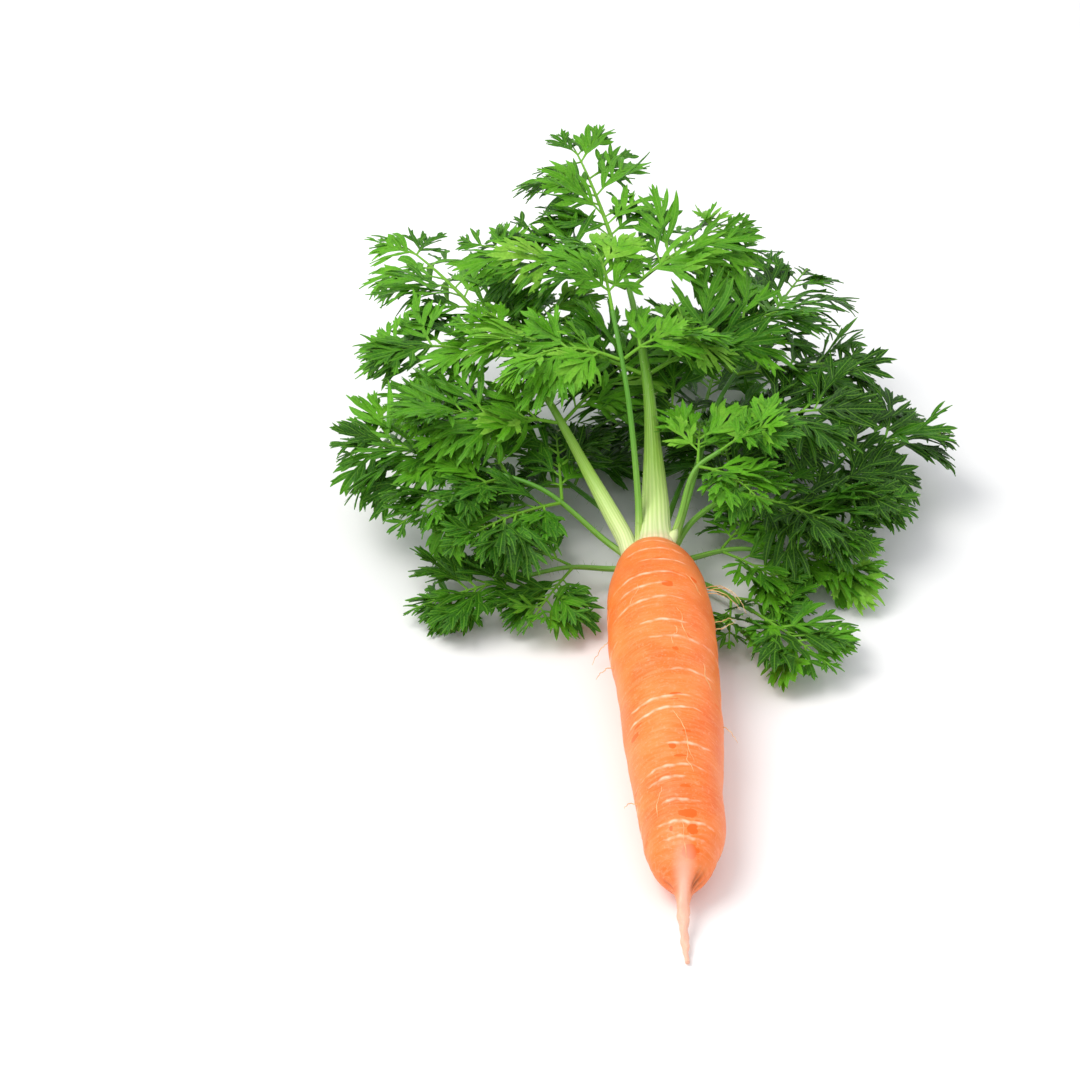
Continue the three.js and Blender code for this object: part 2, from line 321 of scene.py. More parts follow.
def skin_relief(along, around):
    """How far the skin stands out, in mm, how much of a scar it is, and how much of a crease."""
    height = np.zeros(np.broadcast(along, around).shape)
    pale = height.copy()
    fold = height.copy()
    for length, waves, tall, phase, start in swellings:
        height += tall * np.cos(waves * around + phase) * np.sin(2 * math.pi * along / length + start)
    for place, middle, reach, depth in scars:
        off = turned_from(around, middle)
        wander = 0.45 * np.sin(2.3 * off + 7 * middle)
        wander = wander + 0.2 * np.sin(9 * off + place) + 0.1 * np.sin(23 * off)
        across = along - place - wander + 0.3 * math.sin(9 * middle) * off * off
        fade = np.clip(1 - (off / reach) ** 2, 0, 1)
        lip = 0.13 * np.exp(-((across / 0.45) ** 2)) - 0.17 * np.exp(-(((across - 0.9) / 0.7) ** 2))
        height += depth * fade * (lip - 0.09 * np.exp(-((across / 2.2) ** 2)))
        patchy = 0.65 + 0.25 * np.sin(17 * off + 3 * place) + 0.1 * np.sin(41 * off)
        line = np.exp(-((across / (0.2 + 0.28 * fade)) ** 2))
        pale = np.maximum(pale, depth * fade**0.5 * patchy * line)
    near_neck = np.exp(-(((along - NECK) / NECK_REACH) ** 2))
    for middle, depth in creases:
        slanted = middle + 0.05 * (along - TAIL_FROM)
        cut = np.exp(-((turned_from(around, slanted) / 0.15) ** 2)) * near_neck
        height -= depth * cut
        fold = np.maximum(fold, depth * cut)
    on_tail = np.clip((along - 147) / 3, 0, 1)
    knots = 0.16 * np.sin(0.9 * along + 2 * around) + 0.12 * np.sin(1.9 * along - around)
    height = height * (1 - on_tail) + knots * on_tail
    height *= np.clip(along / 3, 0, 1) * np.clip((root_length - along) / 4, 0, 1)
    return height, pale * (1 - on_tail), fold


def on_root(along, radius, around):
    """Points at a radius from the root's own axis. Nothing is lower than the table."""
    centre = through(root_stations, root_centres, np.clip(along, 0, root_length))
    x = centre[..., 0] + radius * np.sin(around)
    z = centre[..., 2] + radius * np.cos(around)
    return np.stack([x, crown[1] - along, np.maximum(z, 0)], -1)


# The outline from the middle of the crown over its rim to the tip of the tail, at even steps.
from_middle = np.linspace(0.02, 1, 60)
over_crown = -CROWN_RISE * (1 - from_middle**3)
down_root = np.linspace(0, root_length, 1200)[1:]
outline = np.concatenate([
    np.stack([over_crown, from_middle * root_radii[0]], -1),
    np.stack([down_root, root_radius(down_root)], -1),
])
walked = np.concatenate([[0], np.cumsum(np.linalg.norm(np.diff(outline, axis=0), axis=1))])
at = np.linspace(0, walked[-1], int(walked[-1] / SKIN_STEP))
outline = np.stack([np.interp(at, walked, outline[:, 0]), np.interp(at, walked, outline[:, 1])], -1)
rounding = np.hanning(9)[1:-1]  # rounds the crown's rim
eased = [np.convolve(outline[:, k], rounding / rounding.sum(), "same") for k in (0, 1)]
keep_ends = slice(4, -4)
outline[keep_ends] = np.stack(eased, -1)[keep_ends]

around = np.linspace(0, 2 * math.pi, SKIN_SIDES, endpoint=False)[None, :]
along = outline[:, :1]
relief, pale, fold = skin_relief(along, around)
points = on_root(np.broadcast_to(along, relief.shape), outline[:, 1:] + relief, around)
lower_on_top = 8 * np.exp(-((turned_from(around, 0) / 0.55) ** 2))
to_tail = np.clip((along + lower_on_top - TAIL_FROM) / TAIL_FADE, 0, 1)
rubbed_off = 0 * relief
for place, degrees, half_length, half_width in rubbed_patches:
    off = turned_from(around, math.radians(degrees)) / math.radians(half_width)
    rubbed_off = np.maximum(rubbed_off, np.exp(-(((along - place) / half_length) ** 2) - off**2))
crown_share = np.clip(1 - along / 6, 0, 1) + 0 * around


def with_ends(values):
    """A mark on every ring corner, and then on the two end corners of the sleeve."""
    return np.concatenate([np.ravel(values), [values[0, 0], values[-1, 0]]])


# Carrot skin: smooth, thin and a little waxy over wet flesh, so light goes a short way in. It is bright
# orange with a pale bloom in fine streaks across, deeper orange where it was rubbed, and pale on the scars.
skin, tree, output = new_finish("carrot_skin")
place = put(tree, "ShaderNodeTexCoord").outputs["Object"]
scar, crease, tail, at_crown, through_skin = [
    put(tree, "ShaderNodeAttribute", attribute_name=mark).outputs["Fac"]
    for mark in ("scar", "crease", "tail", "crown", "rubbed")]
cloudy = put(tree, "ShaderNodeTexNoise", {"Vector": place, "Scale": 1 / (16 * MM), "Detail": 4.0})
across = put(tree, "ShaderNodeMapping", {"Vector": place, "Scale": (0.16, 1.0, 0.16)})
streaks = put(tree, "ShaderNodeTexNoise", {
    "Vector": across.outputs[0], "Scale": 1 / (0.9 * MM), "Detail": 6.0})
hairline = put(tree, "ShaderNodeTexNoise", {
    "Vector": across.outputs[0], "Scale": 1 / (3.4 * MM), "Detail": 2.0, "Distortion": 0.35})
rubbed_across = put(tree, "ShaderNodeMapping", {"Vector": place, "Scale": (0.45, 1.0, 0.45)})
rubbed = put(tree, "ShaderNodeTexNoise", {
    "Vector": rubbed_across.outputs[0], "Scale": 1 / (4.5 * MM), "Detail": 6.0, "Roughness": 0.6})
ragged = put(tree, "ShaderNodeTexNoise", {
    "Vector": rubbed_across.outputs[0], "Scale": 1 / (1.3 * MM), "Detail": 6.0, "Roughness": 0.65})
grain = put(tree, "ShaderNodeTexNoise", {"Vector": place, "Scale": 1 / (0.35 * MM), "Detail": 3.0})
pores = put(tree, "ShaderNodeTexNoise", {"Vector": place, "Scale": 1 / (0.8 * MM), "Detail": 4.0})

base = put(tree, "ShaderNodeValToRGB", {"Fac": cloudy.outputs[0]}, stops=[
    (0.3, "#ee6a1e"), (0.5, "#f47a2c"), (0.7, "#f9883e")])
bloom = put(tree, "ShaderNodeMapRange", {
    "Value": streaks.outputs[0], "From Min": 0.42, "From Max": 0.75, "To Max": 0.4})
speck = put(tree, "ShaderNodeMapRange", {
    "Value": pores.outputs[0], "From Min": 0.55, "From Max": 0.75, "To Max": 0.35})
contour = put(tree, "ShaderNodeMath", {0: hairline.outputs[0], 1: 0.5}, operation="SUBTRACT")
contour = put(tree, "ShaderNodeMath", {0: contour.outputs[0]}, operation="ABSOLUTE")
thin_scar = put(tree, "ShaderNodeMapRange", {
    "Value": contour.outputs[0], "From Min": 0.009, "From Max": 0.0, "To Max": 0.22})
rub = put(tree, "ShaderNodeMapRange", {
    "Value": rubbed.outputs[0], "From Min": 0.66, "From Max": 0.68, "To Max": 0.6})
torn = put(tree, "ShaderNodeMath", {0: ragged.outputs[0], 1: 2.4, 2: -0.2}, operation="MULTIPLY_ADD")
patch = put(tree, "ShaderNodeMath", {0: torn.outputs[0], 1: through_skin}, operation="MULTIPLY")
patch = put(tree, "ShaderNodeMapRange", {
    "Value": patch.outputs[0], "From Min": 0.4, "From Max": 0.44, "To Max": 0.95})
rub = put(tree, "ShaderNodeMath", {0: rub.outputs[0], 1: patch.outputs[0]}, operation="MAXIMUM")
pale_crown = put(tree, "ShaderNodeMath", {0: at_crown, 1: 0.45}, operation="MULTIPLY")
pale_scar = put(tree, "ShaderNodeMapRange", {
    "Value": scar, "From Min": 0.1, "From Max": 0.65, "To Max": 0.75})
colour = base.outputs[0]
for share, shade in ((bloom.outputs[0], "#ffa672"), (speck.outputs[0], "#ffb690"),
                     (thin_scar.outputs[0], "#ffbf98"), (rub.outputs[0], "#f56200"), (tail, "#efb79e"),
                     (pale_crown.outputs[0], "#f09a58"), (pale_scar.outputs[0], "#ffd3b4"),
                     (crease, "#7a4122")):
    over = put(tree, "ShaderNodeMix", {0: share, 6: colour, 7: linear(shade)}, data_type="RGBA")
    colour = over.outputs[2]
dull = put(tree, "ShaderNodeMapRange", {
    "Value": streaks.outputs[0], "From Min": 0.3, "From Max": 0.7, "To Min": 0.36, "To Max": 0.52})
uneven = put(tree, "ShaderNodeMath", {0: streaks.outputs[0], 1: 0.35, 2: grain.outputs[0]},
             operation="MULTIPLY_ADD")
bump = put(tree, "ShaderNodeBump", {"Height": uneven.outputs[0], "Strength": 0.35, "Distance": 0.12 * MM})
surface = put(tree, "ShaderNodeBsdfPrincipled", {
    "Base Color": colour, "Roughness": dull.outputs[0], "Normal": bump.outputs[0],
    "IOR": 1.42, "Subsurface Weight": 0.12, "Subsurface Radius": (1.0, 0.4, 0.15),
    "Subsurface Scale": 1.5 * MM})
tree.links.new(surface.outputs[0], output.inputs[0])

marks = {"scar": with_ends(pale), "crease": with_ends(fold), "tail": with_ends(to_tail),
         "crown": with_ends(crown_share), "rubbed": with_ends(rubbed_off)}
grown("taproot_skin", [sleeve(points)], skin, marks, "taproot")

# ------------------------------------------------------------------------------------ the hair roots
# Feeder roots, as thin as thread, dried yellow where they still hang from the skin or lie along it.


def thread(points, radii, sides=5):
    """A closed thin tube through points, in mm."""
    points = np.asarray(points, float)
    forward = np.gradient(points, axis=0)
    forward /= np.linalg.norm(forward, axis=1, keepdims=True)
    start = np.cross(forward[0], (0.31, 0.2, 0.93))
    side = start / np.linalg.norm(start)
    loops = []
    for point, ahead, radius in zip(points, forward, radii):
        side = side - ahead * (side @ ahead)
        side /= np.linalg.norm(side)
        other = np.cross(ahead, side)
        turn = np.linspace(0, 2 * math.pi, sides, endpoint=False)[:, None]
        loops.append(point + radius * (np.cos(turn) * side + np.sin(turn) * other))
    return sleeve(np.array(loops))


# Loose threads: distance from the crown and angle from the top where each starts, its length in mm, and how
# far it swings along the root on its way.
THREAD_POINTS = 16
luck = np.random.default_rng(5)
loose = [
    (24, 70, 19, 10), (25, 72, 15, 4), (27, 68, 12, 8), (26, 74, 9, 2), (41, 76, 8, -4), (43, 80, 10, -7),
    (60, -84, 7, 3), (88, 78, 6, 4), (118, -80, 5, 2), (52, 150, 11, 6), (96, 170, 9, -4),
    (33, -120, 10, 5)]
hair_roots = []
for start, degrees, length, swing in loose:
    turn = math.radians(degrees)
    out = np.array([math.sin(turn), 0, math.cos(turn)])
    foot = on_root(np.array(start), root_radius(start) - 0.3, turn)
    steps = np.linspace(0, 1, THREAD_POINTS)[:, None]
    path = foot + out * (length * steps * (1 - 0.25 * steps)) - np.array([0, swing, 0]) * steps**2
    path[:, 2] -= 0.35 * length * steps[:, 0] ** 2
    wobble = np.cumsum(luck.normal(0, 0.16, (THREAD_POINTS, 3)), axis=0)
    path += (wobble - wobble[0]) * np.minimum(1, 4 * steps)
    path[:, 2] = np.maximum(path[:, 2], 0.25)
    hair_roots.append(thread(path, np.linspace(0.19, 0.07, THREAD_POINTS)))

# Some lie on the skin: from a distance and an angle to another.
lying = [(50, 12, 62, 21), (66, 4, 58, 9), (93, -2, 112, 17), (108, 6, 116, 12), (132, -6, 142, 6),
         (36, -24, 44, -36), (70, 38, 80, 47), (30, 30, 37, 48), (120, -30, 129, -44), (84, 140, 97, 120),
         (40, 180, 52, 165), (110, -150, 118, -128)]
for start, from_angle, end, to_angle in lying:
    share = np.linspace(0, 1, 26)
    wobble = np.cumsum(luck.normal(0, 0.22, 26))
    reach = start + (end - start) * share + wobble - wobble[-1] * share
    turn = np.radians(from_angle + (to_angle - from_angle) * share + 2.2 * np.sin(7 * share + start))
    height = skin_relief(reach, turn)[0]
    path = on_root(reach, root_radius(reach) + height + 0.05, turn)
    hair_roots.append(thread(path, 0.11 * np.sqrt(np.sin(math.pi * (0.04 + 0.92 * share)))))

# Dried feeder root: dull straw yellow, patchy where it is dirty or bleached, so each thread stands out
# against the orange.
straw, tree, output = new_finish("dried_hair_root")
place = put(tree, "ShaderNodeTexCoord").outputs["Object"]
patches = put(tree, "ShaderNodeTexNoise", {"Vector": place, "Scale": 1 / (3 * MM), "Detail": 2.0})
shade = put(tree, "ShaderNodeValToRGB", {"Fac": patches.outputs[0]}, stops=[
    (0.35, "#d3a066"), (0.6, "#f0cd96")])
surface = put(tree, "ShaderNodeBsdfPrincipled", {"Base Color": shade.outputs[0], "Roughness": 0.65})
tree.links.new(surface.outputs[0], output.inputs[0])
grown("hair_roots", hair_roots, straw)

# ------------------------------------------------------------------------------------------ the stalks
# Leaf stalks: ribbed, juicy channels that grew from the crown and clasp it at the foot. The two oldest are
# thick, blanched nearly white where soil covered them, and turn green upwards. The rest are thin and hairy.

STALK_SIDES = 8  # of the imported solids
STALK_STEP = 1.0  # mm between two rings of corners
IN_CROWN = 1.6  # mm that a foot goes into the crown
THICK = ("main", "second")
FULLER_FOOT = {"main": 0.34, "second": 0.24}  # share by which a foot is thicker than packed
FOOT_LENGTH, FOOT_FADE = 38, 7  # mm of stalk that are fuller, and over how far that ends
leaves = sorted(name[: -len("_stalk")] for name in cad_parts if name.endswith("_stalk"))


def frames_along(points):
    """For points along a curve: its direction, its level side, and its upper side."""
    forward = np.gradient(points, axis=0)
    forward /= np.linalg.norm(forward, axis=1, keepdims=True)
    across = np.cross(forward, (0, 0, 1))
    across /= np.linalg.norm(across, axis=1, keepdims=True)
    return forward, across, np.cross(across, forward)


def hairs(luck, points, out, count, length):
    """Short stiff hairs that stand out from points, in mm."""
    grew = []
    for i in luck.integers(0, len(points), count):
        tip = points[i] + (out[i] + luck.normal(0, 0.35, 3)) * length * luck.uniform(0.5, 1.1)
        bent = (points[i] + tip) / 2 + luck.normal(0, 0.06, 3)
        grew.append(thread([points[i] - 0.1 * out[i], bent, tip], [0.05, 0.04, 0.015], 3))
    return grew


# A living leaf stalk: wet and glossy, light goes a little way in, with paler ribs over greener furrows. It
# is cream at the foot and turns through yellow-green to leaf green, soon on a thin stalk and late on a
# thick one.
stalk_shades = {
    "pale_stalk": [
        (0.0, "#eee0b8"), (0.03, "#e9efb9"), (0.13, "#d6e99a"), (0.3, "#abd25e"), (0.55, "#7db43a"),
        (1.0, "#5f9a2a")],
    "green_stalk": [
        (0.0, "#e9e6b4"), (0.04, "#b9cf76"), (0.12, "#84b548"), (0.4, "#5f9e31"), (1.0, "#55902b")],
}
SHADED_LENGTH = 120  # mm of stalk that the shades cover
stalk_finishes = {}
for slot, shades in stalk_shades.items():
    finish, tree, output = new_finish(slot.replace("_", "_leaf_"))
    from_foot, round_stalk, rib = [
        put(tree, "ShaderNodeAttribute", attribute_name=mark).outputs["Fac"]
        for mark in ("from_foot", "round", "rib")]
    share = put(tree, "ShaderNodeMath", {0: from_foot, 1: 1 / SHADED_LENGTH}, operation="MULTIPLY")
    base = put(tree, "ShaderNodeValToRGB", {"Fac": share.outputs[0]}, stops=shades)
    lengthwise = put(tree, "ShaderNodeCombineXYZ", {"X": round_stalk, "Y": from_foot})
    fibres = put(tree, "ShaderNodeMapping", {"Vector": lengthwise.outputs[0], "Scale": (2.2, 0.045, 1.0)})
    streaks = put(tree, "ShaderNodeTexNoise", {"Vector": fibres.outputs[0], "Scale": 1.0, "Detail": 4.0})
    furrow = put(tree, "ShaderNodeMapRange", {
        "Value": rib, "From Min": 0.5, "From Max": -0.8, "To Max": 0.5})
    streak = put(tree, "ShaderNodeMapRange", {
        "Value": streaks.outputs[0], "From Min": 0.45, "From Max": 0.7, "To Max": 0.4})
    both = put(tree, "ShaderNodeMath", {0: furrow.outputs[0], 1: streak.outputs[0]}, operation="MAXIMUM")
    greener = put(tree, "ShaderNodeMix", {
        0: 1.0, 6: base.outputs[0], 7: linear("#a8cf6e")}, data_type="RGBA", blend_type="MULTIPLY")
    coloured = put(tree, "ShaderNodeMix", {0: both.outputs[0], 6: base.outputs[0], 7: greener.outputs[2]},
                   data_type="RGBA")
    place = put(tree, "ShaderNodeTexCoord").outputs["Object"]
    cells = put(tree, "ShaderNodeTexNoise", {"Vector": place, "Scale": 1 / (0.4 * MM), "Detail": 2.0})
    bump = put(tree, "ShaderNodeBump", {"Height": cells.outputs[0], "Strength": 0.2, "Distance": 0.06 * MM})
    surface = put(tree, "ShaderNodeBsdfPrincipled", {
        "Base Color": coloured.outputs[2], "Roughness": 0.4, "Normal": bump.outputs[0], "IOR": 1.42,
        "Subsurface Weight": 0.15, "Subsurface Radius": (0.7, 1.0, 0.3), "Subsurface Scale": 1.2 * MM})
    tree.links.new(surface.outputs[0], output.inputs[0])
    stalk_finishes[slot] = finish

stalk_lines = {}
stalk_widths = {}
for number, leaf in enumerate(leaves):
    luck = np.random.default_rng([21, number])
    packed = rings(f"{leaf}_stalk", STALK_SIDES, crown)
    centres = np.array([ring.mean(0) for ring in packed])
    stations = np.concatenate([[0], np.cumsum(np.linalg.norm(np.diff(centres, axis=0), axis=1))])
    _, across, out = frames_along(centres)
    half_width = np.array([np.abs((r - c) @ a).max() for r, c, a in zip(packed, centres, across)])
    half_height = np.array([np.abs((r - c) @ o).max() for r, c, o in zip(packed, centres, out)])

    length = stations[-1]
    at = np.linspace(0, length, int(length / STALK_STEP))
    line = through(stations, centres, at)
    in_foot = FULLER_FOOT.get(leaf, 0) / (1 + np.exp((at - FOOT_LENGTH) / FOOT_FADE))
    fuller = 1 + in_foot * (0.75 + 0.5 * np.clip(at / 20, 0, 1))
    wide = through(stations, half_width, at) * fuller
    tall = through(stations, half_height, at) * fuller
    foot = line[:1] - np.array([0, IN_CROWN, 0])
    line, at = np.concatenate([foot, line]), np.concatenate([[-IN_CROWN], at])
    wide, tall = np.concatenate([wide[:1], wide]), np.concatenate([tall[:1], tall])
    _, across, out = frames_along(line)

    thick = leaf in THICK
    ribs = 19 if thick else 7
    sides = 100 if thick else 35
    turn = np.linspace(0, 2 * math.pi, sides, endpoint=False)[None, :]
    rib_height = luck.uniform(0.5, 1.0, ribs)
    over = rib_height[(turn * ribs / (2 * math.pi)).astype(int) % ribs]
    rib = np.cos(ribs * turn) * over + 0 * at[:, None]
    swell = 1 + (0.16 if thick else 0.25) * np.exp(-np.maximum(at, 0) / 3.5)
    relief = 1 + (0.026 if thick else 0.06) * rib * np.clip(at / 6, 0.3, 1)[:, None]
    inward = crown - line[1]
    channel_at = math.atan2(inward @ out[1], inward @ across[1])
    channel = 1 - 0.2 * np.exp(-((turned_from(turn, channel_at) / 0.55) ** 2))
    relief = relief * channel * swell[:, None]
    loops = (
        line[:, None]
        + (wide[:, None] * relief * np.cos(turn))[..., None] * across[:, None]
        + (tall[:, None] * relief * np.sin(turn))[..., None] * out[:, None]
    )
    stalk = sleeve(loops)
    sleeves = [stalk]
    normals = (loops - line[:, None]) / np.linalg.norm(loops - line[:, None], axis=2, keepdims=True)
    hairy = slice(50, -2) if thick else slice(8, -2)  # a thick stalk's foot is bald
    hair_count, hair_length = (int(0.5 * length), 1.3) if thick else (int(1.1 * length), 1.5)
    hair_feet = loops[hairy].reshape(-1, 3)
    sleeves += hairs(luck, hair_feet, normals[hairy].reshape(-1, 3), hair_count, hair_length)
    if leaf == "main":
        # A torn sheath at the foot, left by an older leaf: a short pale tongue that stands off to one side.
        tongue = line[1] + np.array([[4.0, -0.4, -1.0], [4.8, 0.8, 0.6], [5.9, 2.9, 1.6], [7.0, 4.9, 1.9]])
        sleeves.append(thread(tongue, [1.7, 1.9, 1.5, 0.5], 14))
    extra = sum(len(points) for points, _, _ in sleeves[1:])
    shade_of_extra = np.full(extra, 9.0 if thick else 30.0)  # as the stalk's own this far from its foot
    marks = {
        "from_foot": np.concatenate([with_ends(at[:, None] + 0 * turn), shade_of_extra]),
        "round": np.concatenate([with_ends(wide[:, None] * turn), np.zeros(extra)]),
        "rib": np.concatenate([with_ends(rib), np.ones(extra)]),
    }
    slot = "pale_stalk" if thick else "green_stalk"
    grown(f"{leaf}_ribbed_stalk", sleeves, stalk_finishes[slot], marks, f"{leaf}_stalk")
    stalk_lines[leaf] = line
    stalk_widths[leaf] = np.maximum(wide, tall)

# ---------------------------------------------------------------------------------------- the leaflets
# Each leaflet is a thin stem with pinnules in pairs. A pinnule is one soft, thin blade, cut deep into long,
# pointed, toothed lobes that lean forward. All of it is one piece, and snaps off the stalk as one.

BLADE_CORNERS = 4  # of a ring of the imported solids
BLADE_HALF_THICKNESS = 0.13  # mm
TABLE_GAP, ROOT_GAP, STALK_GAP = 0.4, 0.9, 0.5  # mm from a blade's middle to what it must not run into

# Outlines of the middle blade of a pinnule and of the lobes beside it: the places of rows of corners along
# it, the share of its half-width in each, the rows where a tooth may stand, and how often one does.
AXIS_OUTLINE = (
    np.array([0, 0.07, 0.15, 0.28, 0.45, 0.6, 0.71, 0.77, 0.81, 0.87, 0.91, 0.96, 1]),
    np.array([0.28, 0.28, 0.36, 0.52, 0.62, 0.8, 0.97, 1, 0.92, 0.74, 0.6, 0.33, 0.03]),
    (7, 9), 0.45)
LOBE_OUTLINE = (
    np.array([0, 0.1, 0.24, 0.38, 0.5, 0.56, 0.67, 0.76, 0.82, 0.92, 1]),
    np.array([0.45, 0.58, 0.82, 0.97, 1, 0.96, 0.84, 0.68, 0.56, 0.3, 0.03]),
    (4, 7), 0.25)
LONGEST = 32  # mm of one pinnule
SEATS = ((0.1, 1.65), (0.6, 1.3))  # two pinnules: where along a packed lobe, and their length over its reach
thick_lines = np.concatenate([stalk_lines[leaf][6:] for leaf in THICK])
thick_widths = np.concatenate([stalk_widths[leaf][6:] for leaf in THICK])


def curl(points, per_mm, ahead, towards):
    """Bends points along one axis towards another, by so many radians each mm."""
    if abs(per_mm) < 1e-6:
        return points
    angle = points[..., ahead] * per_mm
    off = points[..., towards]
    bent = points.copy()
    bent[..., ahead] = np.sin(angle) * (1 / per_mm - off)
    bent[..., towards] = (1 - np.cos(angle)) / per_mm + off * np.cos(angle)
    return bent


def within_size(points):
    """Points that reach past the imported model's size, drawn back softly towards it."""
    margin = 3.0  # mm, from where a tip starts to bend back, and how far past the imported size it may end
    inside = points.copy()
    for axis, side in ((0, 0), (0, 1), (1, 1), (2, 1)):
        way = 2 * side - 1
        past = way * (points[:, axis] - cad_box[side][axis] / MM) + margin
        drawn = 2 * margin * (1 - np.exp(-np.maximum(past, 0) / (2 * margin)))
        inside[:, axis] -= way * (np.maximum(past, 0) - drawn)
    return inside


def clear_of_neighbours(points):
    """How far points move to lie outside the root and the thick stalks, and above the table."""
    moved = points.copy()
    along = crown[1] - moved[..., 1]
    beside = (along > -2) & (along < root_length)
    axis = through(root_stations, root_centres, np.clip(along, 0, root_length))
    off = moved - axis
    off[..., 1] = 0
    distance = np.maximum(np.linalg.norm(off, axis=-1), 1e-6)
    needed = root_radius(np.clip(along, 0, root_length)) + ROOT_GAP
    push = np.where(beside & (distance < needed), needed - distance, 0)
    moved += off / distance[..., None] * push[..., None]

    squares = (moved**2).sum(-1)[:, None] + (thick_lines**2).sum(-1) - 2 * moved @ thick_lines.T
    nearest = squares.argmin(1)
    off = moved - thick_lines[nearest]
    distance = np.maximum(np.linalg.norm(off, axis=-1), 1e-6)
    push = np.maximum(thick_widths[nearest] + STALK_GAP - distance, 0)
    moved += off / distance[:, None] * push[:, None]

    rises = 2.5  # mm, the height under which a blade starts to lie down
    low = moved[..., 2] < rises
    eased = TABLE_GAP + (rises - TABLE_GAP) * np.exp((moved[..., 2] - rises) / (rises - TABLE_GAP))
    moved[..., 2] = np.where(low, eased, moved[..., 2])
    return within_size(moved) - points


def strip(luck, foot, forward, up, size, outline, bend):
    """One pointed, folded blade. Size is its length and greatest half-width, and bend is how it curls down,
    sideways and round itself, in radians each mm. Gives the middle surface, the thickness over it, marks,
    and a function that sets local points in place."""
    length, width = size
    places, shares, tooth_rows, toothed = outline
    sides = np.stack([shares, shares])
    lean = np.zeros(sides.shape)
    for row in tooth_rows:
        for side in (0, 1):
            if luck.random() < toothed:
                sides[side, row] += luck.uniform(0.35, 0.7)
                lean[side, row] = 0.085 * length  # a tooth points forward, with a notch in front
                sides[side, row + 1] *= 0.72
    right, left = sides * width
    y = np.stack([-right, -0.5 * right, 0 * right, 0.5 * left, left, 0 * right], -1)
    rim = np.array([0, 1, 1, 1, 0, -1.7])  # flat at both edges, raised above, and keeled below the rib
    ahead = np.stack([lean[0], 0.4 * lean[0], 0 * left, 0.4 * lean[1], lean[1], 0 * left], -1)
    x = places[:, None] * length + ahead + 0.25 * np.abs(y)
    reach = np.abs(y)
    fold = luck.uniform(0.08, 0.42)  # how steeply the two halves rise from the rib
    ripple = luck.uniform(0.04, 0.16) * np.sin(0.9 * x + luck.uniform(0, 6)) * np.sign(y)
    z = fold * reach + ripple * np.minimum(reach, 1.5)
    thickness = BLADE_HALF_THICKNESS * np.clip(2 - 4 * places, 1, 2)[:, None] * rim
    sink, sideways, twist = bend
    side = np.cross(up, forward)
    side /= np.linalg.norm(side)
    up = np.cross(forward, side)

    def set_down(x, y, z):
        """Local points of the blade, curled, twisted and set in place."""
        angle = twist * x
        turned_y = y * np.cos(angle) - z * np.sin(angle)
        turned_z = y * np.sin(angle) + z * np.cos(angle)
        local = np.stack([x, turned_y, turned_z], -1)
        local = curl(curl(local, sink, 0, 2), sideways, 0, 1)
        return foot + local[..., :1] * forward + local[..., 1:2] * side + local[..., 2:] * up

    middle = set_down(x, y, z)
    marks = {
        "midrib": with_ends(reach),
        "vein": with_ends(x - 0.9 * reach),
        "edge": with_ends(np.abs(y) / np.maximum(np.maximum(left, right), 0.05)[:, None]),
        "under": with_ends(np.broadcast_to(np.where(rim < 0, 1.0, np.where(rim == 0, 0.5, 0.0)), y.shape)),
    }
    return middle, set_down(x, y, z + thickness) - middle, marks, set_down


def seat(set_down, length, place, way):
    """Where a side blade sits on another: the point, the direction on from it and the one to its side."""
    start, ahead, beside = set_down(length * np.array([place, place + 0.02, place]),
                                    np.array([0, 0, 0.2 * way]), np.zeros(3))
    return start, (ahead - start) / np.linalg.norm(ahead - start), (beside - start) / 0.2


